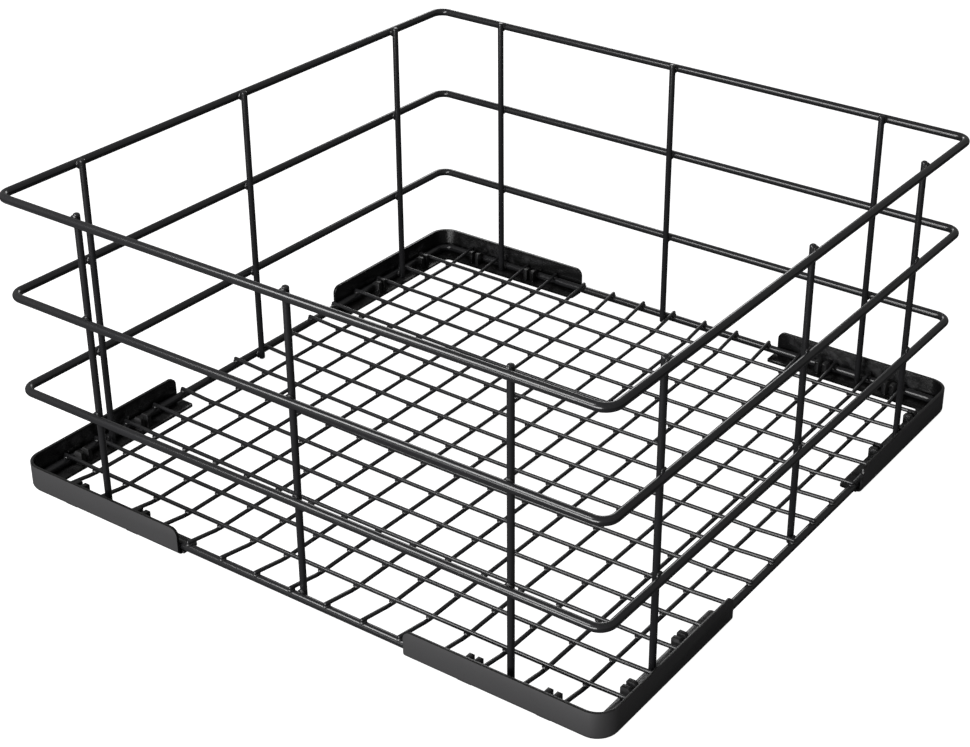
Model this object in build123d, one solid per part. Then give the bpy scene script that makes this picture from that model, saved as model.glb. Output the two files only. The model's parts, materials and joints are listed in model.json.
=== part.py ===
from build123d import *
from math import atan2, cos, pi, tan
import os

# Open welded-wire cargo basket standing on four moulded corner brackets.
# Millimetres, +Z up. The origin is the middle of the footprint, at the brackets' underside.
# Front is -Y and right is +X.

# frame hoops: four closed rings of round wire on one plan outline
ring_wire = 5.0
ring_length = 400.0
ring_width = 395.0
ring_bend = 8.0
tier_pitch = 60.7
tier_names = ("base_ring", "lower_ring", "middle_ring", "rim_ring")

# uprights: straight posts welded inside the hoops, three to a side, each clear of the mesh wires
upright_wire = 4.0
upright_places = {
    "front": (-143.0, 4.3, 142.0),
    "right": (-144.0, 4.3, 142.4),
    "back": (-144.4, -6.4, 143.6),
    "left": (-140.0, -6.6, 142.0),
}
upright_above_rim = 3.4
upright_below_base = 2.9
upright_end_chamfer = 0.7

# floor mesh: cross wires run front to back, long wires lie on top of them,
# and every wire climbs at its ends to lie on the base ring
mesh_wire = 2.5
mesh_count = 15
mesh_pitch_x = 25.0
mesh_pitch_y = 24.5
mesh_shift_x = -0.5
mesh_shift_y = -1.2
mesh_end_overhang = 1.9
cross_wire_rise = 0.8
mesh_sag = 3.8
kink_offset = 2.0
dish_edge = 0.25
dish_flat = 0.33

# round wires are modelled with flats, true across the flats
ring_sides = 12
upright_sides = 12
mesh_sides = 8

# corner brackets: a low outside wall that turns in under the base ring as a flange
bracket_floor = 1.5
ring_lift = 0.5
bracket_wall = 1.8
bracket_height = 17.2
bracket_offset = 5.0
bracket_arm = 125.0
flange_reach = 10.0
flange_tip = 1.0
bottom_round = 3.5
wall_end_round = 5.0
flange_end_round = 2.0
flange_inner_round = 3.0
wall_root = 1.0

# snap clips: pairs of hooked fingers inside the ring, a saddle under it and a ledge on the wall
clip_places = (33.0, 82.0)
finger_spread = 5.6
finger_width = 2.8
finger_gap = 0.5
finger_thickness = 5.2
finger_height = 10.4
finger_bevel = 0.6
hook_reach = 1.5
hook_start = 1.4
hook_nose = 0.8
ledge_length = 9.0
ledge_depth = 1.2
ledge_lift = 0.3
ledge_height = 1.6

ring_radius = ring_wire / 2
upright_radius = upright_wire / 2
mesh_radius = mesh_wire / 2
half_length = ring_length / 2
half_width = ring_width / 2
base_level = bracket_floor + ring_lift + ring_radius
rim_level = base_level + tier_pitch * (len(tier_names) - 1)
upright_inset = ring_radius + upright_radius
cross_wire_level = base_level + cross_wire_rise
long_wire_level = cross_wire_level + mesh_wire
last_cross_place = mesh_pitch_x * (mesh_count - 1) / 2
last_long_place = mesh_pitch_y * (mesh_count - 1) / 2

os.makedirs("parts", exist_ok=True)


def save(shape, name):
    shape.label = name
    export_step(shape, f"parts/{name}.step")


def wire_section(radius, sides):
    """A round wire's section, level flats up and down so that crossing wires seat on each other."""
    return RegularPolygon(radius, sides, major_radius=False, rotation=180 / sides)


def hoop(level):
    """One closed frame ring with its centre line at the given height."""
    outline = Pos(0, 0, level) * RectangleRounded(ring_length, ring_width, ring_bend)
    start = Plane(origin=(0, -half_width, level), z_dir=(1, 0, 0))
    return sweep(start * wire_section(ring_radius, ring_sides), path=outline.wire())


def upright(x, y):
    """One straight post from just under the base ring to just over the rim."""
    bottom = base_level - upright_below_base
    height = rim_level + upright_above_rim - bottom
    post = extrude(wire_section(upright_radius, upright_sides), height)
    ends = post.faces().sort_by(Axis.Z)
    post = chamfer(ends[0].edges() + ends[-1].edges(), upright_end_chamfer)
    return Pos(x, y, bottom) * post


def dish(place, last_crossing):
    """Share of the sag at a place across the floor: full over the middle, little at the edges."""
    kink = last_crossing + kink_offset
    flat = kink * dish_flat
    inward = (kink - abs(place)) / (kink - flat)
    return dish_edge + (1 - dish_edge) * min(inward, 1)


def climbed_level(run, kink_level):
    """Height of a mesh wire's end after a straight climb over the base ring, run away from the kink."""
    half_facet = pi / ring_sides
    slope = 0
    for _ in range(5):
        crest = ring_radius * cos(half_facet - slope) / cos(half_facet)
        crown = base_level + (crest + mesh_radius) / cos(slope)
        slope = atan2(crown - kink_level, run)
    return crown + mesh_end_overhang * tan(slope)


def mesh_strand(half_span, last_crossing, level, own_dish, shift):
    """A floor wire along X: it sags with the floor and climbs at both ends over the base ring."""
    kink = last_crossing + kink_offset
    flat = kink * dish_flat
    kink_level = level - mesh_sag * own_dish * dish(kink, last_crossing)
    flat_level = level - mesh_sag * own_dish
    reach = half_span + mesh_end_overhang
    path = Polyline(
        (-reach, 0, climbed_level(half_span - kink + shift, kink_level)),
        (shift - kink, 0, kink_level),
        (shift - flat, 0, flat_level),
        (shift + flat, 0, flat_level),
        (shift + kink, 0, kink_level),
        (reach, 0, climbed_level(half_span - kink - shift, kink_level)),
    )
    start = Plane(origin=path @ 0, x_dir=(0, 1, 0), z_dir=path % 0)
    section = start * wire_section(mesh_radius, mesh_sides)
    return sweep(section, path=path, transition=Transition.RIGHT)


def bracket_wall_sweep():
    """The outside wall and its turned-in bottom edge, round the corner of the base ring."""
    wall_end = bracket_arm - bracket_offset
    outer = -bracket_offset
    corners = ((wall_end, outer), (outer, outer), (outer, wall_end))
    path = FilletPolyline(*corners, radius=ring_bend + bracket_offset)
    root = -bottom_round - wall_root
    profile = make_face(
        Polyline(
            (root, 0),
            (0, 0),
            (0, bracket_height),
            (-bracket_wall, bracket_height),
            (-bracket_wall, bracket_floor),
            (root, bracket_floor),
            close=True,
        )
    )
    outer_corner = profile.vertices().sort_by_distance((0, 0))[0]
    profile = fillet(outer_corner, bottom_round)
    at_end = Plane(origin=(wall_end, outer, 0), x_dir=(0, -1, 0), z_dir=(-1, 0, 0))
    wall = sweep(at_end * profile, path=path.wire())
    for tip in ((wall_end, outer, bracket_height), (outer, wall_end, bracket_height)):
        top_edge = wall.edges().filter_by(GeomType.LINE).sort_by_distance(tip)
        end_edge = [edge for edge in top_edge[:4] if abs(edge.length - bracket_wall) < 0.01][0]
        wall = fillet(end_edge, wall_end_round)
    return wall


def bracket_flange():
    """The flat L that passes under the base ring, a little longer than the wall."""
    start = bottom_round - bracket_offset
    tip = bracket_arm - bracket_offset + flange_tip
    plan = make_face(
        Polyline(
            (start, start),
            (tip, start),
            (tip, flange_reach),
            (flange_reach, flange_reach),
            (flange_reach, tip),
            (start, tip),
            close=True,
        )
    )
    plan = fillet(plan.vertices().sort_by_distance((start, start))[0], ring_bend - start)
    plan = fillet(
        plan.vertices().sort_by_distance((flange_reach, flange_reach))[0], flange_inner_round
    )
    for end in ((tip, flange_reach), (flange_reach, tip)):
        plan = fillet(plan.vertices().sort_by_distance(end)[0], flange_end_round)
    return extrude(plan, bracket_floor)


def clip():
    """Two hooked fingers, a saddle and a wall ledge that hold the base ring; the arm runs along X."""
    face = ring_radius + finger_gap
    back = face + finger_thickness
    nose = face - hook_reach
    nose_level = base_level + ring_radius
    side = make_face(
        Polyline(
            (face, 0),
            (face, base_level + hook_start),
            (nose, nose_level),
            (nose, nose_level + hook_nose),
            (face + finger_bevel, finger_height),
            (back - finger_bevel, finger_height),
            (back, finger_height - finger_bevel),
            (back, 0),
            close=True,
        )
    )
    across = Plane(origin=(-finger_width / 2, 0, 0), x_dir=(0, 1, 0), z_dir=(1, 0, 0))
    finger = extrude(across * side, finger_width)
    saddle_width = face + bracket_offset - bracket_wall
    saddle = Box(
        finger_spread + finger_width,
        saddle_width,
        bracket_floor + ring_lift,
        align=(Align.CENTER, Align.MAX, Align.MIN),
    )
    ledge = Box(
        ledge_length,
        ledge_depth + bracket_wall / 2,
        ledge_height,
        align=(Align.CENTER, Align.MIN, Align.MIN),
    )
    return [
        Pos(-finger_spread / 2, 0, 0) * finger,
        Pos(finger_spread / 2, 0, 0) * finger,
        Pos(0, face, 0) * saddle,
        Pos(0, bracket_wall / 2 - bracket_offset, nose_level + ledge_lift) * ledge,
    ]


def bracket():
    """One corner bracket for the front left corner, with the ring's corner at the origin."""
    body = bracket_wall_sweep() + bracket_flange()
    swap_arms = Plane(origin=(0, 0, 0), z_dir=(1, -1, 0))
    for place in clip_places:
        for piece in clip():
            on_long_arm = Pos(place, 0, 0) * piece
            body += on_long_arm
            body += mirror(on_long_arm, about=swap_arms)
    return body


for tier, name in enumerate(tier_names):
    save(hoop(base_level + tier * tier_pitch), name)

side_line_y = half_width - upright_inset
side_line_x = half_length - upright_inset
for side, places in upright_places.items():
    for place, word in zip(places, "abc"):
        spot = {
            "front": (place, -side_line_y),
            "right": (side_line_x, place),
            "back": (place, side_line_y),
            "left": (-side_line_x, place),
        }[side]
        save(upright(*spot), f"upright_{side}_{word}")

for index in range(mesh_count):
    cross_place = index * mesh_pitch_x - last_cross_place
    cross_dish = dish(cross_place, last_cross_place)
    cross = mesh_strand(half_width, last_long_place, cross_wire_level, cross_dish, mesh_shift_y)
    cross_spot = Pos(cross_place + mesh_shift_x, 0, 0)
    save(cross_spot * Rot(0, 0, 90) * cross, f"mesh_cross_wire_{index + 1:02d}")
    long_place = index * mesh_pitch_y - last_long_place
    long_dish = dish(long_place, last_long_place)
    strand = mesh_strand(half_length, last_cross_place, long_wire_level, long_dish, mesh_shift_x)
    save(Pos(0, long_place + mesh_shift_y, 0) * strand, f"mesh_long_wire_{index + 1:02d}")

corner = bracket()
corner_places = {
    "front_left": (-half_length, -half_width, 0),
    "front_right": (half_length, -half_width, 90),
    "back_right": (half_length, half_width, 180),
    "back_left": (-half_length, half_width, 270),
}
for name, (x, y, turn) in corner_places.items():
    save(Pos(x, y, 0) * Rot(0, 0, turn) * corner, f"corner_bracket_{name}")
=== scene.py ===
import bpy
import json
import math
from mathutils import Matrix, Vector

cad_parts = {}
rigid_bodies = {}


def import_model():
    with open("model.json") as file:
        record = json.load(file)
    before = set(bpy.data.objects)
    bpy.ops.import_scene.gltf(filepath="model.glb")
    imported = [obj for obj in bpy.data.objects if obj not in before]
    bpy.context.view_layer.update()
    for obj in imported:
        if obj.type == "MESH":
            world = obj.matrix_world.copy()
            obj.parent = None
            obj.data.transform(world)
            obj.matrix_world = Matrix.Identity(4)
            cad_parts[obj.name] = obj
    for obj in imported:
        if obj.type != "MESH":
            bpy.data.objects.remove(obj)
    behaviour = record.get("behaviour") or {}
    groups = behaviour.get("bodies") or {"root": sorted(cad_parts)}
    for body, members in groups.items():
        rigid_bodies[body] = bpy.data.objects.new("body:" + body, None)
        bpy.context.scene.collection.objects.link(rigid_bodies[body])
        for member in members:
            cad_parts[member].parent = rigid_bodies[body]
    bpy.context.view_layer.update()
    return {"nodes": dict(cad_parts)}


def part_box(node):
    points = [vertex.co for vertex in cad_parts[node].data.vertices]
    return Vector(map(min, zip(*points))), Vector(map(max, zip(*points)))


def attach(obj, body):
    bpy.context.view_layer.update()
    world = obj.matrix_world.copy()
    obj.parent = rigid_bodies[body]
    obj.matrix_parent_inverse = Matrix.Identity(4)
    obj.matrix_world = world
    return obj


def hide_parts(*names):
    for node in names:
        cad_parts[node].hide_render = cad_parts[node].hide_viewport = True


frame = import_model()
mm = 0.001
shared = {
    "mergeGap": 0.005 * mm,
    "flatAngle": 1,
    "leastTurn": 1e-5,
}
print("frame loaded:", len(frame["nodes"]), "nodes")

shot = {
    "spot": (0.594, -0.8204, 0.6182),
    "around": 32.76,
    "down": 27.34,
    "roll": 1.338,
    "lens": 71.01,
    "sensor": 36.0,
    "shift": (-0.1186, -0.0655),
}


def placeCamera():
    data = bpy.data.cameras.new("viewCamera")
    data.sensor_width = shot["sensor"]
    data.lens = shot["lens"]
    data.shift_x, data.shift_y = shot["shift"]
    camera = bpy.data.objects.new("viewCamera", data)
    bpy.context.collection.objects.link(camera)
    turn = Matrix.Rotation(math.radians(shot["around"]), 3, "Z")
    dip = Matrix.Rotation(math.radians(90 - shot["down"]), 3, "X")
    roll = Matrix.Rotation(math.radians(shot["roll"]), 3, "Z")
    camera.rotation_euler = (turn @ dip @ roll).to_euler()
    camera.location = shot["spot"]
    bpy.context.scene.camera = camera


placeCamera()
print("camera placed")


def pickNothing():
    bpy.ops.object.select_all(action="DESELECT")


def pickOnly(piece):
    pickNothing()
    piece.select_set(True)
    bpy.context.view_layer.objects.active = piece


def editAll(piece):
    pickOnly(piece)
    bpy.ops.object.mode_set(mode="EDIT")
    bpy.ops.mesh.select_all(action="SELECT")


def nameIt(name):
    piece = bpy.context.object
    piece.name = name
    piece.data.name = name
    return piece


def freeze(piece):
    pickOnly(piece)
    bpy.ops.object.transform_apply(location=True, rotation=True, scale=True)


def tidyMesh(piece, angle):
    # doubles go first, so that the normals are worked out on a closed skin
    editAll(piece)
    bpy.ops.mesh.remove_doubles(threshold=shared["mergeGap"])
    bpy.ops.mesh.normals_make_consistent(inside=False)
    bpy.ops.object.mode_set(mode="OBJECT")
    pickOnly(piece)
    bpy.ops.object.shade_smooth_by_angle(angle=math.radians(angle))


def startSection(radius, sides, spot, heading, filled):
    # a circle square to the heading, ready in edit mode for the extrusions that make the wire
    pickNothing()
    bpy.ops.mesh.primitive_circle_add(
        vertices=sides,
        radius=radius,
        fill_type="NGON" if filled else "NOTHING",
        location=spot,
        rotation=Vector(heading).to_track_quat("Z", "Y").to_euler(),
    )
    bpy.ops.object.transform_apply(location=True, rotation=True, scale=True)
    bpy.ops.object.mode_set(mode="EDIT")
    bpy.ops.mesh.select_all(action="SELECT")


def drawOut(step):
    bpy.ops.mesh.extrude_region_move(TRANSFORM_OT_translate={"value": tuple(step)})


def resizeSection(share, centre):
    bpy.ops.transform.resize(value=(share, share, share), center_override=tuple(centre))


def finishPiece(piece, material, slot, *nodes):
    piece.data.materials.clear()
    piece.data.materials.append(material)
    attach(piece, "root")
    if nodes:
        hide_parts(*nodes)



def newGroup(name, inputs, outputs):
    group = bpy.data.node_groups.new(name, "ShaderNodeTree")
    for label, kind, value in inputs:
        socket = group.interface.new_socket(label, in_out="INPUT", socket_type=kind)
        if value is not None:
            socket.default_value = value
    for label, kind in outputs:
        group.interface.new_socket(label, in_out="OUTPUT", socket_type=kind)
    return group, group.nodes.new("NodeGroupInput"), group.nodes.new("NodeGroupOutput")


def noiseNode(tree, place, scale, detail):
    noise = tree.nodes.new("ShaderNodeTexNoise")
    noise.inputs["Detail"].default_value = detail
    tree.links.new(place, noise.inputs["Vector"])
    if isinstance(scale, (int, float)):
        noise.inputs["Scale"].default_value = scale
    else:
        tree.links.new(scale, noise.inputs["Scale"])
    return noise.outputs["Fac"]


def mathNode(tree, operation, first, second=None, clamp=False):
    node = tree.nodes.new("ShaderNodeMath")
    node.operation = operation
    node.use_clamp = clamp
    for socket, value in zip(node.inputs, (first, second)):
        if value is None:
            continue
        if isinstance(value, (int, float)):
            socket.default_value = value
        else:
            tree.links.new(value, socket)
    return node.outputs[0]


def rampNode(tree, value, low, high):
    ramp = tree.nodes.new("ShaderNodeMapRange")
    ramp.interpolation_type = "SMOOTHSTEP"
    ramp.inputs["From Min"].default_value = low
    ramp.inputs["From Max"].default_value = high
    tree.links.new(value, ramp.inputs["Value"])
    return ramp.outputs["Result"]


def blendNode(tree, mask, first, second):
    mix = tree.nodes.new("ShaderNodeMix")
    mix.data_type = "RGBA"
    for label, value in (("Factor", mask), ("A", first), ("B", second)):
        tree.links.new(value, mix.inputs[label])
    return mix.outputs["Result"]


def seenOrFelt(tree, felt, seen, end):
    # one shader for the camera and another for everything that the light touches
    path = tree.nodes.new("ShaderNodeLightPath")
    mix = tree.nodes.new("ShaderNodeMixShader")
    tree.links.new(path.outputs["Is Camera Ray"], mix.inputs["Fac"])
    tree.links.new(felt, mix.inputs[1])
    tree.links.new(seen, mix.inputs[2])
    tree.links.new(mix.outputs["Shader"], end)


groupSetting = {
    "skinDetail": (2, 3),
    "patchDetail": 4,
    "dustFacing": (0.3, 1.0),
    "dustSpecks": (0.48, 0.68),
    "dustDetail": 3,
    "rubEdge": (0.52, 0.62),
    "rubPatch": (0.35, 0.7),
    "rubScale": 160.0,
    "rubDetail": 4,
    "outward": (0.02, 0.11),
}


def buildCoatSkin():
    # fine waves that a baked powder or a mould's texture leaves in a surface
    group, come, go = newGroup(
        "coatSkin",
        (
            ("Place", "NodeSocketVector", None),
            ("Wave scale", "NodeSocketFloat", 700.0),
            ("Grain scale", "NodeSocketFloat", 2600.0),
            ("Grain share", "NodeSocketFloat", 0.3),
        ),
        (("Height", "NodeSocketFloat"),),
    )
    place = come.outputs["Place"]
    waveDetail, grainDetail = groupSetting["skinDetail"]
    wave = noiseNode(group, place, come.outputs["Wave scale"], waveDetail)
    grain = noiseNode(group, place, come.outputs["Grain scale"], grainDetail)
    grain = mathNode(group, "MULTIPLY", grain, come.outputs["Grain share"])
    group.links.new(mathNode(group, "ADD", wave, grain), go.inputs["Height"])
    return group


def buildHandling():
    # roughness that drifts from place to place
    group, come, go = newGroup(
        "handling",
        (
            ("Place", "NodeSocketVector", None),
            ("Patch scale", "NodeSocketFloat", 30.0),
            ("Roughness", "NodeSocketFloat", 0.35),
            ("Drift", "NodeSocketFloat", 0.1),
        ),
        (("Roughness", "NodeSocketFloat"),),
    )
    patch = noiseNode(
        group, come.outputs["Place"], come.outputs["Patch scale"], groupSetting["patchDetail"]
    )
    swing = mathNode(group, "SUBTRACT", patch, 0.5)
    swing = mathNode(group, "MULTIPLY", swing, come.outputs["Drift"])
    rough = mathNode(group, "ADD", come.outputs["Roughness"], swing, clamp=True)
    group.links.new(rough, go.inputs["Roughness"])
    return group


def buildDust():
    # light dust on what faces up, broken up by specks
    group, come, go = newGroup(
        "dust",
        (
            ("Place", "NodeSocketVector", None),
            ("Color", "NodeSocketColor", (0.02, 0.02, 0.02, 1)),
            ("Dust color", "NodeSocketColor", (0.3, 0.28, 0.26, 1)),
            ("Amount", "NodeSocketFloat", 0.03),
            ("Speck scale", "NodeSocketFloat", 900.0),
        ),
        (("Color", "NodeSocketColor"),),
    )
    facing = group.nodes.new("ShaderNodeNewGeometry")
    split = group.nodes.new("ShaderNodeSeparateXYZ")
    group.links.new(facing.outputs["Normal"], split.inputs["Vector"])
    up = rampNode(group, split.outputs["Z"], *groupSetting["dustFacing"])
    speck = noiseNode(
        group, come.outputs["Place"], come.outputs["Speck scale"], groupSetting["dustDetail"]
    )
    speck = rampNode(group, speck, *groupSetting["dustSpecks"])
    mask = mathNode(group, "MULTIPLY", up, speck)
    mask = mathNode(group, "MULTIPLY", mask, come.outputs["Amount"])
    dusty = blendNode(group, mask, come.outputs["Color"], come.outputs["Dust color"])
    group.links.new(dusty, go.inputs["Color"])
    return group


def buildEdgeRub():
    # edges that hands and shelves have rubbed a little paler
    group, come, go = newGroup(
        "edgeRub",
        (
            ("Place", "NodeSocketVector", None),
            ("Color", "NodeSocketColor", (0.02, 0.02, 0.02, 1)),
            ("Rubbed color", "NodeSocketColor", (0.08, 0.08, 0.08, 1)),
            ("Amount", "NodeSocketFloat", 0.5),
        ),
        (("Color", "NodeSocketColor"),),
    )
    shape = group.nodes.new("ShaderNodeNewGeometry")
    edge = rampNode(group, shape.outputs["Pointiness"], *groupSetting["rubEdge"])
    patch = noiseNode(
        group, come.outputs["Place"], groupSetting["rubScale"], groupSetting["rubDetail"]
    )
    patch = rampNode(group, patch, *groupSetting["rubPatch"])
    mask = mathNode(group, "MULTIPLY", edge, patch)
    mask = mathNode(group, "MULTIPLY", mask, come.outputs["Amount"])
    rubbed = blendNode(group, mask, come.outputs["Color"], come.outputs["Rubbed color"])
    group.links.new(rubbed, go.inputs["Color"])
    return group


def buildMouldSidesAndPaintedShade():
    # 1 on faces that look out from the basket, where the mould was textured, and 0 inside; the
    # darker inner colour is painted shade on the inward faces
    group, come, go = newGroup(
        "mouldSidesAndPaintedShade",
        (
            ("Place", "NodeSocketVector", None),
            ("Inner color", "NodeSocketColor", (0.006, 0.006, 0.006, 1)),
            ("Outer color", "NodeSocketColor", (0.04, 0.04, 0.04, 1)),
        ),
        (("Color", "NodeSocketColor"), ("Mask", "NodeSocketFloat")),
    )
    flat = group.nodes.new("ShaderNodeVectorMath")
    flat.operation = "MULTIPLY"
    flat.inputs[1].default_value = (1, 1, 0)
    group.links.new(come.outputs["Place"], flat.inputs[0])
    facing = group.nodes.new("ShaderNodeNewGeometry")
    dot = group.nodes.new("ShaderNodeVectorMath")
    dot.operation = "DOT_PRODUCT"
    group.links.new(flat.outputs["Vector"], dot.inputs[0])
    group.links.new(facing.outputs["Normal"], dot.inputs[1])
    mask = rampNode(group, dot.outputs["Value"], *groupSetting["outward"])
    color = blendNode(group, mask, come.outputs["Inner color"], come.outputs["Outer color"])
    group.links.new(color, go.inputs["Color"])
    group.links.new(mask, go.inputs["Mask"])
    return group


skinGroup = buildCoatSkin()
handlingGroup = buildHandling()
dustGroup = buildDust()
rubGroup = buildEdgeRub()
sidesGroup = buildMouldSidesAndPaintedShade()


def useGroup(tree, group, place, **values):
    node = tree.nodes.new("ShaderNodeGroup")
    node.node_tree = group
    tree.links.new(place, node.inputs["Place"])
    for label, value in values.items():
        socket = node.inputs[label.replace("_", " ")]
        if isinstance(value, bpy.types.NodeSocket):
            tree.links.new(value, socket)
        else:
            socket.default_value = value
    return node


def makeFinish(name, look):
    material = bpy.data.materials.new(name)
    material.use_nodes = True
    tree = material.node_tree
    shader = tree.nodes["Principled BSDF"]
    place = tree.nodes.new("ShaderNodeTexCoord").outputs["Object"]
    color, roughness = look["color"], look["roughness"]
    # the inward faces of the brackets get a darker colour: painted shade
    if "paintedShadeInnerColor" in look:
        sides = useGroup(
            tree, sidesGroup, place, Inner_color=look["paintedShadeInnerColor"], Outer_color=look["color"]
        )
        color = sides.outputs["Color"]
        roughness = mathNode(
            tree, "MULTIPLY_ADD", sides.outputs["Mask"], look["roughness"] - look["innerRoughness"]
        )
        roughness.node.inputs[2].default_value = look["innerRoughness"]
    rub = useGroup(
        tree, rubGroup, place,
        Color=color, Rubbed_color=look["rubbedColor"], Amount=look["rubbed"],
    )
    dust = useGroup(
        tree, dustGroup, place,
        Color=rub.outputs["Color"], Dust_color=look["dustColor"], Amount=look["dusty"],
        Speck_scale=look["speckScale"],
    )
    handling = useGroup(
        tree, handlingGroup, place,
        Patch_scale=look["patchScale"], Roughness=roughness, Drift=look["drift"],
    )
    skin = useGroup(
        tree, skinGroup, place,
        Wave_scale=look["waveScale"], Grain_scale=look["grainScale"],
        Grain_share=look["grainShare"],
    )
    bump = tree.nodes.new("ShaderNodeBump")
    bump.inputs["Strength"].default_value = look["bump"]
    bump.inputs["Distance"].default_value = look["depth"]
    tree.links.new(skin.outputs["Height"], bump.inputs["Height"])
    tree.links.new(dust.outputs["Color"], shader.inputs["Base Color"])
    tree.links.new(handling.outputs["Roughness"], shader.inputs["Roughness"])
    tree.links.new(bump.outputs["Normal"], shader.inputs["Normal"])
    shader.inputs["Specular IOR Level"].default_value = look["specular"]
    return material


powderCoat = makeFinish("blackPowderCoat", {
    "color": (0.011, 0.011, 0.012, 1),
    "rubbedColor": (0.03, 0.03, 0.032, 1),
    "rubbed": 0.3,
    "dustColor": (0.2, 0.19, 0.18, 1),
    "dusty": 0.03,
    "speckScale": 1100.0,
    "patchScale": 28.0,
    "roughness": 0.22,
    "drift": 0.08,
    "waveScale": 240.0,
    "grainScale": 1500.0,
    "grainShare": 0.02,
    "bump": 0.05,
    "depth": 0.00008,
    "specular": 0.5,
})
weldCoat = makeFinish("blackWeldCoat", {
    "color": (0.010, 0.010, 0.011, 1),
    "rubbedColor": (0.05, 0.048, 0.046, 1),
    "rubbed": 0.3,
    "dustColor": (0.2, 0.19, 0.18, 1),
    "dusty": 0.04,
    "speckScale": 1500.0,
    "patchScale": 240.0,
    "roughness": 0.2,
    "drift": 0.15,
    "waveScale": 1300.0,
    "grainScale": 3600.0,
    "grainShare": 0.4,
    "bump": 0.8,
    "depth": 0.0002,
    "specular": 0.5,
})
mouldedPlastic = makeFinish("blackMouldedPlastic", {
    "color": (0.036, 0.0354, 0.0365, 1),
    # painted shade: the inward faces of the brackets are coloured darker than the outer ones
    "paintedShadeInnerColor": (0.003, 0.003, 0.0031, 1),
    "innerRoughness": 0.22,
    "rubbedColor": (0.06, 0.06, 0.062, 1),
    "rubbed": 0.35,
    "dustColor": (0.24, 0.22, 0.2, 1),
    "dusty": 0.05,
    "speckScale": 1300.0,
    "patchScale": 45.0,
    "roughness": 0.46,
    "drift": 0.12,
    "waveScale": 1500.0,
    "grainScale": 5200.0,
    "grainShare": 0.7,
    "bump": 0.45,
    "depth": 0.00012,
    "specular": 0.35,
})
print("finishes built")

hoopSetting = {
    "wire": 5.0 * mm,
    "bend": 8.0 * mm,
    "sides": 28,
    "bendSteps": 12,
    "smooth": 50,
}


def buildHoop(name, node):
    low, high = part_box(node)
    radius = hoopSetting["wire"] / 2
    bend = hoopSetting["bend"]
    level = (low[2] + high[2]) / 2
    left, right = low[0] + radius, high[0] - radius
    front, back = low[1] + radius, high[1] - radius
    startSection(radius, hoopSetting["sides"], (left + bend, front, level), (1, 0, 0), False)
    corners = (
        ((right - left - 2 * bend, 0, 0), (right - bend, front + bend, level)),
        ((0, back - front - 2 * bend, 0), (right - bend, back - bend, level)),
        ((left - right + 2 * bend, 0, 0), (left + bend, back - bend, level)),
        ((0, front - back + 2 * bend, 0), (left + bend, front + bend, level)),
    )
    for run, centre in corners:
        drawOut(run)
        bpy.ops.mesh.spin(
            steps=hoopSetting["bendSteps"], angle=math.radians(-90), center=centre, axis=(0, 0, 1)
        )
    bpy.ops.object.mode_set(mode="OBJECT")
    hoop = nameIt(name)
    tidyMesh(hoop, hoopSetting["smooth"])
    finishPiece(hoop, powderCoat, "wire_coating", node)


for word in ("base", "lower", "middle", "rim"):
    buildHoop(f"hoop_{word}", f"{word}_ring")
print("hoops drawn")

postSetting = {
    "wire": 4.0 * mm,
    "sides": 24,
    "endRound": 1.1 * mm,
    "endSteps": 4,
    "smooth": 50,
}


def buildPost(name, node):
    low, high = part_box(node)
    radius = postSetting["wire"] / 2
    centre = [(a + b) / 2 for a, b in zip(low, high)]
    pickNothing()
    bpy.ops.mesh.primitive_cylinder_add(
        vertices=postSetting["sides"], radius=radius, depth=high[2] - low[2], location=centre
    )
    bpy.ops.object.transform_apply(location=True, rotation=True, scale=True)
    post = nameIt(name)
    bpy.ops.object.mode_set(mode="EDIT")
    bpy.ops.mesh.select_mode(type="EDGE")
    bpy.ops.mesh.select_all(action="DESELECT")
    bpy.ops.object.mode_set(mode="OBJECT")
    for edge in post.data.edges:  # those of the two ends lie level
        heights = [post.data.vertices[index].co.z for index in edge.vertices]
        edge.select = abs(heights[0] - heights[1]) < radius
    bpy.ops.object.mode_set(mode="EDIT")
    bpy.ops.mesh.bevel(
        offset=postSetting["endRound"], segments=postSetting["endSteps"], affect="EDGES"
    )
    bpy.ops.object.mode_set(mode="OBJECT")
    tidyMesh(post, postSetting["smooth"])
    finishPiece(post, powderCoat, "wire_coating", node)


for side in ("front", "right", "back", "left"):
    for word in "abc":
        buildPost(f"post_{side}_{word}", f"upright_{side}_{word}")
print("posts drawn")

meshSetting = {
    "wire": 2.5 * mm,
    "sides": 12,
    "count": 15,
    "kink": 2.0 * mm,
    "bendReach": 7.0 * mm,
    "sag": 3.8 * mm,
    "edgeShare": 0.25,
    "stepsPerBay": 2,
    "endSteps": 3,
    "ramp": (0.12, 0.3, 0.55, 0.8, 1.0),
    "crossRise": 0.8 * mm,
    "dishPower": 1.2,
    "smooth": 55,
}

baseLow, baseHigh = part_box("base_ring")
baseLevel = (baseLow[2] + baseHigh[2]) / 2
ringRadius = hoopSetting["wire"] / 2
meshRadius = meshSetting["wire"] / 2
crossNodes = [f"mesh_cross_wire_{index:02d}" for index in range(1, meshSetting["count"] + 1)]
longNodes = [f"mesh_long_wire_{index:02d}" for index in range(1, meshSetting["count"] + 1)]
crossPlaces = [sum(corner[0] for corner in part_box(node)) / 2 for node in crossNodes]
longPlaces = [sum(corner[1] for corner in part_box(node)) / 2 for node in longNodes]
crossLevel = baseLevel + meshSetting["crossRise"]
longLevel = crossLevel + meshSetting["wire"]
meshMiddle = (sum(crossPlaces) / len(crossPlaces), sum(longPlaces) / len(longPlaces))
lastCross = max(crossPlaces) - meshMiddle[0]
lastLong = max(longPlaces) - meshMiddle[1]


def sagShare(place, last):
    # 1 at the middle of the floor and a small share at its outermost wires
    reach = last + meshSetting["kink"]
    share = math.cos(min(abs(place) / reach, 1) * math.pi / 2) ** meshSetting["dishPower"]
    return meshSetting["edgeShare"] + (1 - meshSetting["edgeShare"]) * share


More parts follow.
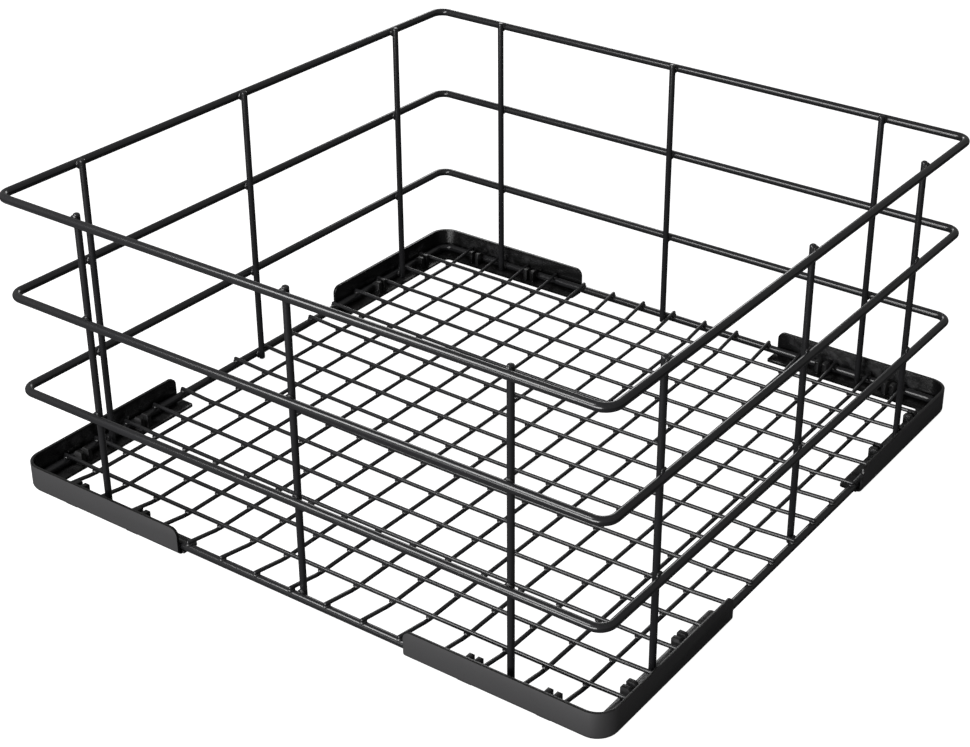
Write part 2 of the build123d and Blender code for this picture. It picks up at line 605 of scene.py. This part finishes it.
def strandHeight(place, setting):
    # the dish up to the outermost crossing, then a straight climb over the base hoop
    kink = setting["last"] + meshSetting["kink"]
    bend = meshSetting["bendReach"]
    along = abs(place - setting["middle"])
    half = setting["half"] - math.copysign(setting["middle"], place * setting["middle"])
    depth = meshSetting["sag"] * setting["share"]
    dish = setting["level"] - depth * sagShare(along, setting["last"])
    kinkLevel = setting["level"] - depth * meshSetting["edgeShare"]
    seat = ringRadius + meshRadius
    slope = math.atan2(baseLevel + seat - kinkLevel, half - kink)
    crown = baseLevel + seat / math.cos(slope)
    climb = kinkLevel + (crown - kinkLevel) * (along - kink) / (half - kink)
    blend = min(max((along - kink + bend) / (2 * bend), 0), 1)
    blend = blend * blend * (3 - 2 * blend)
    return dish * (1 - blend) + climb * blend


def buildStrand(name, node, setting):
    # drawn along X at the middle, then turned and moved to its own place
    end = setting["reach"] - meshRadius
    kink = setting["last"] + meshSetting["kink"]
    count = (meshSetting["count"] - 1) * meshSetting["stepsPerBay"]
    middle = setting["middle"]
    stations = [middle + setting["last"] * (2 * index / count - 1) for index in range(count + 1)]
    left, right = middle - kink, middle + kink
    stations = [left - (end + left) * share for share in reversed(meshSetting["ramp"])] + stations
    stations += [right + (end - right) * share for share in meshSetting["ramp"]]
    points = [Vector((place, 0, strandHeight(place, setting))) for place in stations]
    first = (points[1] - points[0]).normalized()
    endSteps = meshSetting["endSteps"]
    angles = [math.radians(90 * step / endSteps) for step in range(endSteps)]
    dome = [(math.cos(angle), math.sin(angle)) for angle in angles]
    tip = points[0] - first * dome[-1][1] * meshRadius
    startSection(meshRadius * dome[-1][0], meshSetting["sides"], tip, first, True)
    for index in range(len(dome) - 2, -1, -1):
        centre = points[0] - first * dome[index][1] * meshRadius
        drawOut(centre - tip)
        resizeSection(dome[index][0] / dome[index + 1][0], centre)
        tip = centre
    heading = first
    for index in range(1, len(points)):
        drawOut(points[index] - points[index - 1])
        ahead = points[min(index + 1, len(points) - 1)] - points[index - 1]
        ahead.normalize()
        turn = math.atan2(heading.z, heading.x) - math.atan2(ahead.z, ahead.x)
        if abs(turn) > shared["leastTurn"]:
            bpy.ops.transform.rotate(
                value=-turn, orient_axis="Y", center_override=tuple(points[index])
            )
        heading = ahead
    last = points[-1]
    for index in range(1, len(dome)):
        centre = points[-1] + heading * dome[index][1] * meshRadius
        drawOut(centre - last)
        resizeSection(dome[index][0] / dome[index - 1][0], centre)
        last = centre
    bpy.ops.object.mode_set(mode="OBJECT")
    strand = nameIt(name)
    strand.rotation_euler = (0, 0, setting["turn"])
    strand.location = setting["spot"]
    freeze(strand)
    tidyMesh(strand, meshSetting["smooth"])
    finishPiece(strand, powderCoat, "wire_coating", node)


ringHalfX = baseHigh[0] - ringRadius
ringHalfY = baseHigh[1] - ringRadius
for index, node in enumerate(crossNodes):
    buildStrand(f"crossStrand_{index + 1:02d}", node, {
        "level": crossLevel,
        "share": sagShare(crossPlaces[index] - meshMiddle[0], lastCross),
        "last": lastLong,
        "middle": meshMiddle[1],
        "half": ringHalfY,
        "reach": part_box(node)[1][1],
        "turn": math.pi / 2,
        "spot": (crossPlaces[index], 0, 0),
    })
for index, node in enumerate(longNodes):
    buildStrand(f"longStrand_{index + 1:02d}", node, {
        "level": longLevel,
        "share": sagShare(longPlaces[index] - meshMiddle[1], lastLong),
        "last": lastCross,
        "middle": meshMiddle[0],
        "half": ringHalfX,
        "reach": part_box(node)[1][0],
        "turn": 0,
        "spot": (0, longPlaces[index], 0),
    })
print("floor mesh drawn")

weldSetting = {
    "segments": 10,
    "rings": 6,
    "crossing": (2.3 * mm, 2.3 * mm, 0.9 * mm),
    "onHoop": (2.4 * mm, 2.1 * mm, 1.0 * mm),
    "atPost": (2.9 * mm, 1.2 * mm, 3.0 * mm),
    "smooth": 60,
}


def buildWelds(name, beads):
    # one bead is drawn, then copied in edit mode from place to place
    pickNothing()
    size, spot = beads[0]
    bpy.ops.mesh.primitive_uv_sphere_add(
        segments=weldSetting["segments"], ring_count=weldSetting["rings"],
        radius=1, location=spot, scale=size,
    )
    bpy.ops.object.transform_apply(location=True, rotation=True, scale=True)
    welds = nameIt(name)
    bpy.ops.object.mode_set(mode="EDIT")
    bpy.ops.mesh.select_all(action="SELECT")
    for newSize, newSpot in beads[1:]:
        step = Vector(newSpot) - Vector(spot)
        bpy.ops.mesh.duplicate_move(TRANSFORM_OT_translate={"value": tuple(step)})
        if newSize != size:
            grow = tuple(new / old for new, old in zip(newSize, size))
            bpy.ops.transform.resize(value=grow, center_override=tuple(newSpot))
        size, spot = newSize, newSpot
    bpy.ops.object.mode_set(mode="OBJECT")
    tidyMesh(welds, weldSetting["smooth"])
    finishPiece(welds, weldCoat, "wire_coating")


crossingBeads = []
for x in crossPlaces:
    for y in longPlaces:
        drop = sagShare(x - meshMiddle[0], lastCross) * sagShare(y - meshMiddle[1], lastLong)
        drop *= meshSetting["sag"]
        crossingBeads.append((weldSetting["crossing"], (x, y, crossLevel + meshRadius - drop)))
buildWelds("weldsMeshCrossings", crossingBeads)

hoopTop = baseLevel + ringRadius
long, wide, thick = weldSetting["onHoop"]
endBeads = []
for side in (-1, 1):
    for x in crossPlaces:
        endBeads.append(((wide, long, thick), (x, side * ringHalfY, hoopTop)))
for side in (-1, 1):
    for y in longPlaces:
        endBeads.append(((long, wide, thick), (side * ringHalfX, y, hoopTop)))
buildWelds("weldsMeshEnds", endBeads)

postBeads = []
along, through, up = weldSetting["atPost"]
for word in ("base_ring", "lower_ring", "middle_ring", "rim_ring"):
    low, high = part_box(word)
    level = (low[2] + high[2]) / 2
    for side, across in (("front", 1), ("back", -1)):
        edge = (low if side == "front" else high)[1] + across * 2 * ringRadius
        for letter in "abc":
            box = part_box(f"upright_{side}_{letter}")
            postBeads.append(((along, through, up), ((box[0][0] + box[1][0]) / 2, edge, level)))
    for side, across in (("left", 1), ("right", -1)):
        edge = (low if side == "left" else high)[0] + across * 2 * ringRadius
        for letter in "abc":
            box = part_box(f"upright_{side}_{letter}")
            postBeads.append(((through, along, up), (edge, (box[0][1] + box[1][1]) / 2, level)))
buildWelds("weldsPosts", postBeads)
print("welds laid")

bracketSetting = {
    "edgeRadius": 0.35 * mm,
    "edgeSteps": 2,
    "sharp": 32,
}


def buildBracket(name, node):
    source = frame["nodes"][node]
    pickOnly(source)
    bpy.ops.object.duplicate()
    bracket = bpy.context.object
    bpy.ops.object.parent_clear(type="CLEAR_KEEP_TRANSFORM")
    bracket.name = name
    bracket.data.name = name
    freeze(bracket)
    editAll(bracket)
    bpy.ops.mesh.remove_doubles(threshold=shared["mergeGap"])
    bpy.ops.mesh.dissolve_limited(angle_limit=math.radians(shared["flatAngle"]))
    bpy.ops.object.mode_set(mode="OBJECT")
    bevel = bracket.modifiers.new("edges", "BEVEL")
    bevel.width = bracketSetting["edgeRadius"]
    bevel.segments = bracketSetting["edgeSteps"]
    bevel.limit_method = "ANGLE"
    bevel.angle_limit = math.radians(bracketSetting["sharp"])
    pickOnly(bracket)
    bpy.ops.object.modifier_apply(modifier="edges")
    pickOnly(bracket)
    bpy.ops.object.shade_smooth_by_angle(angle=math.radians(bracketSetting["sharp"]))
    finishPiece(bracket, mouldedPlastic, "bracket_plastic", node)


for word in ("front_left", "front_right", "back_right", "back_left"):
    buildBracket(f"bracket_{word}", f"corner_bracket_{word}")
print("brackets finished")

studio = {
    "floorSize": 30.0,
    "floorDrop": 0.2 * mm,
    "floorRoughness": 0.9,
    "floorSeen": (0.4, 0.4, 0.4, 1),
    "floorGlow": 0.96,
    "floorFelt": (0.12, 0.12, 0.12, 1),
    "skySeen": 1.0,
    "skyFelt": 0.26,
    "lightsAim": (0, 0, 0.08),
}


def buildFloor():
    pickNothing()
    bpy.ops.mesh.primitive_plane_add(
        size=studio["floorSize"], location=(0, 0, -studio["floorDrop"])
    )
    floor = nameIt("studioFloor")
    freeze(floor)
    material = bpy.data.materials.new("paleFloor")
    material.use_nodes = True
    tree = material.node_tree
    felt = tree.nodes["Principled BSDF"]
    seen = tree.nodes.new("ShaderNodeBsdfPrincipled")
    for shader, color in ((felt, studio["floorFelt"]), (seen, studio["floorSeen"])):
        shader.inputs["Base Color"].default_value = color
        shader.inputs["Roughness"].default_value = studio["floorRoughness"]
        shader.inputs["Specular IOR Level"].default_value = 0.0
    seen.inputs["Emission Color"].default_value = (1, 1, 1, 1)
    seen.inputs["Emission Strength"].default_value = studio["floorGlow"]
    end = tree.nodes["Material Output"].inputs["Surface"]
    seenOrFelt(tree, felt.outputs["BSDF"], seen.outputs["BSDF"], end)
    floor.data.materials.append(material)


def buildSky():
    world = bpy.data.worlds.new("studioSky")
    bpy.context.scene.world = world
    world.use_nodes = True
    tree = world.node_tree
    tree.nodes.clear()
    felt = tree.nodes.new("ShaderNodeBackground")
    seen = tree.nodes.new("ShaderNodeBackground")
    for sky, strength in ((felt, studio["skyFelt"]), (seen, studio["skySeen"])):
        sky.inputs["Color"].default_value = (1, 1, 1, 1)
        sky.inputs["Strength"].default_value = strength
    end = tree.nodes.new("ShaderNodeOutputWorld").inputs["Surface"]
    seenOrFelt(tree, felt.outputs["Background"], seen.outputs["Background"], end)


softBoxes = (
    {"name": "keyBox", "spot": (-0.3, -0.62, 0.64), "size": (0.42, 0.26), "watts": 4.8},
    {"name": "frontBox", "spot": (0.0, -1.9, 0.35), "size": (1.4, 0.6), "watts": 38},
    {"name": "backBox", "spot": (-0.55, 0.8, 0.42), "size": (0.35, 0.25), "watts": 1.2},
)


def buildLights():
    for box in softBoxes:
        data = bpy.data.lights.new(box["name"], "AREA")
        data.shape = "RECTANGLE"
        data.size, data.size_y = box["size"]
        data.energy = box["watts"]
        light = bpy.data.objects.new(box["name"], data)
        bpy.context.collection.objects.link(light)
        light.visible_camera = False
        light.location = box["spot"]
        aim = Vector(studio["lightsAim"]) - Vector(box["spot"])
        light.rotation_euler = aim.to_track_quat("-Z", "Y").to_euler()


buildFloor()
buildSky()
buildLights()
bpy.context.scene.view_settings.view_transform = "Standard"
print("floor and lights set")

bpy.context.view_layer.update()
